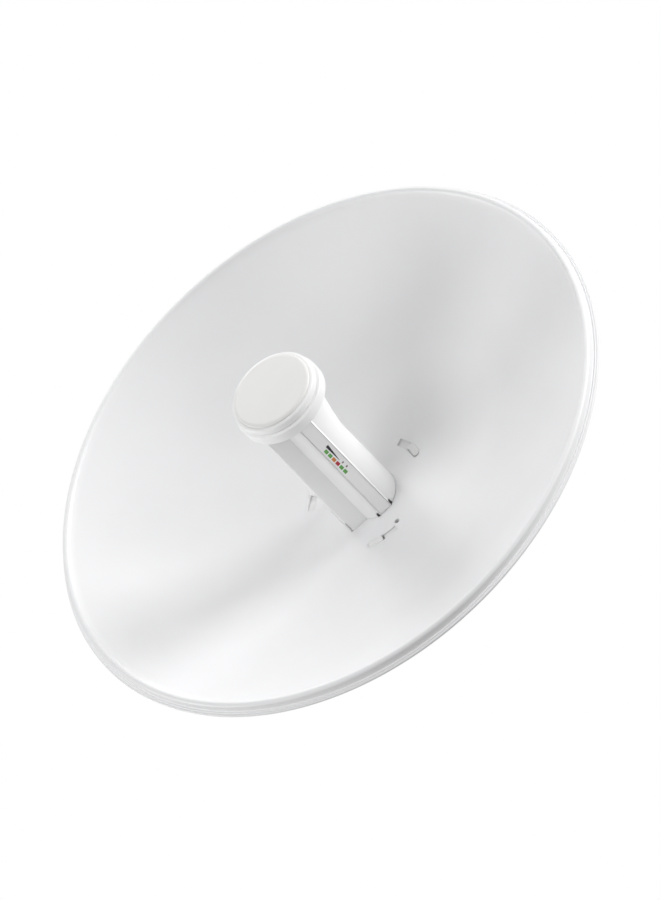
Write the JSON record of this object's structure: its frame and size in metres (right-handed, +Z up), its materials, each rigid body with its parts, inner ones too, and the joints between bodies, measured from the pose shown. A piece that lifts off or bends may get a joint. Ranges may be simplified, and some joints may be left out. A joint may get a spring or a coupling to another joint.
{
  "type": "parabolic dish antenna",
  "caption": "Small white microwave dish: pressed bowl with rolled lip, central feed tube with ringed cap, rear housing, and a steel bracket that clamps to a pole.",
  "frame": {"origin": "centre of the pole bracket web's flat rear face, between the two toothed jaws that grip the pole", "axes": "+Y runs from the dish back to the pole, so the dish looks along -Y; +Z runs up along the pole; +X is to the right of someone who stands in front of the dish"},
  "size_m": [0.42, 0.2336, 0.42],
  "materials": {
    "reflector_paint": "satin white powder coat",
    "feed_plastic": "satin white moulded plastic",
    "head_plastic": "satin white moulded plastic",
    "ring_plastic": "semi-gloss white moulded plastic",
    "face_plastic": "matt warm-grey white moulded plastic",
    "label_film": "pale grey printed film with coloured squares",
    "housing_plastic": "satin white moulded plastic",
    "port_plastic": "satin white moulded plastic",
    "grommet_rubber": "matt grey rubber",
    "bracket_steel": "galvanised folded sheet",
    "fastener_zinc": "zinc-plated steel"
  },
  "bodies": {
    "root": {"reflector": "reflector_paint", "feed_tube": "feed_plastic", "signal_label": "label_film", "head_skirt": "head_plastic", "front_ring": "ring_plastic", "face_disc": "face_plastic", "rear_housing": "housing_plastic", "port_cover": "port_plastic", "cable_grommet": "grommet_rubber", "alignment_bracket": "bracket_steel", "pole_bracket": "bracket_steel", "pole_clamp": "bracket_steel", "bracket_screw_1": "fastener_zinc", "bracket_screw_2": "fastener_zinc", "bracket_screw_3": "fastener_zinc", "bracket_screw_4": "fastener_zinc", "clamp_bolt_left": "fastener_zinc", "clamp_bolt_right": "fastener_zinc", "clamp_nut_left": "fastener_zinc", "clamp_nut_right": "fastener_zinc", "pivot_bolt_left": "fastener_zinc", "pivot_bolt_right": "fastener_zinc", "pivot_nut_left": "fastener_zinc", "pivot_nut_right": "fastener_zinc", "slot_bolt_left": "fastener_zinc", "slot_bolt_right": "fastener_zinc", "slot_nut_left": "fastener_zinc", "slot_nut_right": "fastener_zinc"}
  },
  "joints": []
}
